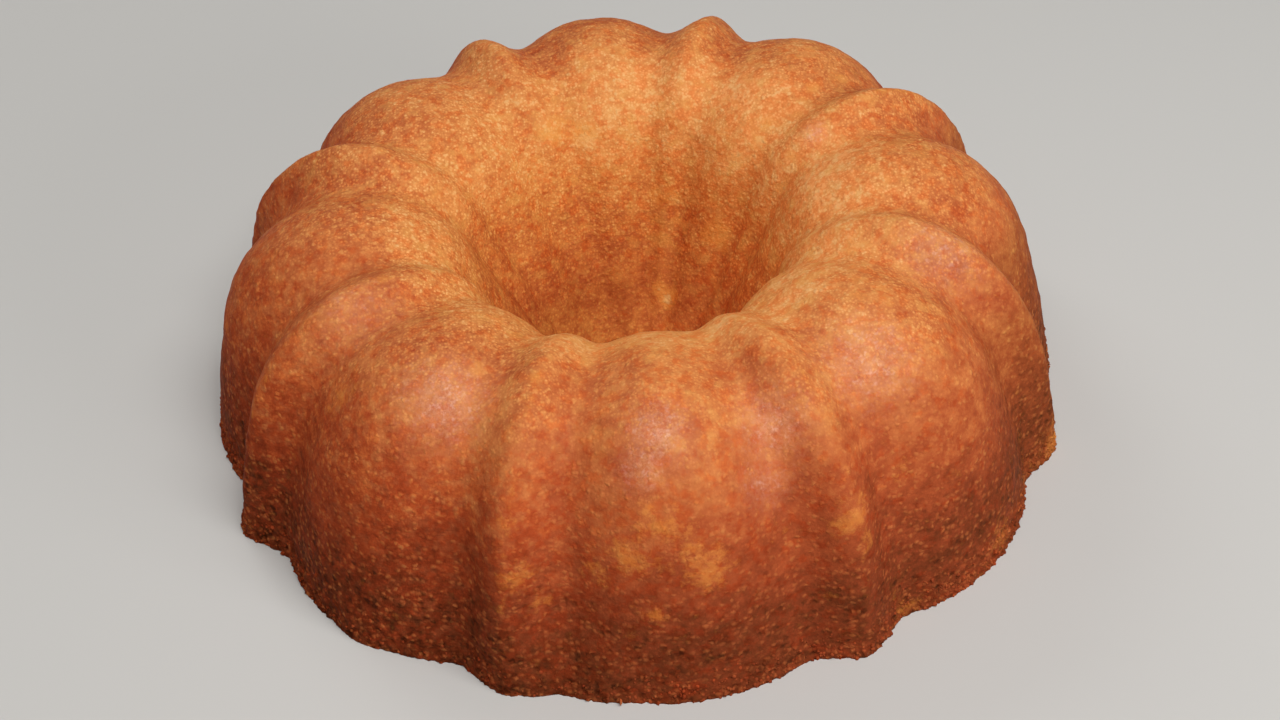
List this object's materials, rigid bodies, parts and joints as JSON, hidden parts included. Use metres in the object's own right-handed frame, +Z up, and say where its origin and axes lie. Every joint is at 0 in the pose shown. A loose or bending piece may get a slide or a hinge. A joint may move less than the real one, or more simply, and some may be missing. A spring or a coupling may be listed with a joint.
{
  "type": "fluted ring pound cake",
  "caption": "Whole golden-brown buttermilk pound cake, a ring with round lobes and sharp ridges that run over the crown into a tapered centre hole, resting on its flat underside.",
  "frame": {"origin": "centre of the flat underside, on the plane the cake rests on", "axes": "+Z up through the centre hole; the middles of four lobes lie on the X and Y axes"},
  "size_m": [0.25, 0.25, 0.0767],
  "materials": {
    "crust": "golden-brown baked crust with fine pale mottling and a soft buttery sheen, darker in the grooves and low on the wall"
  },
  "bodies": {
    "root": {"pound_cake": "crust"}
  },
  "joints": []
}
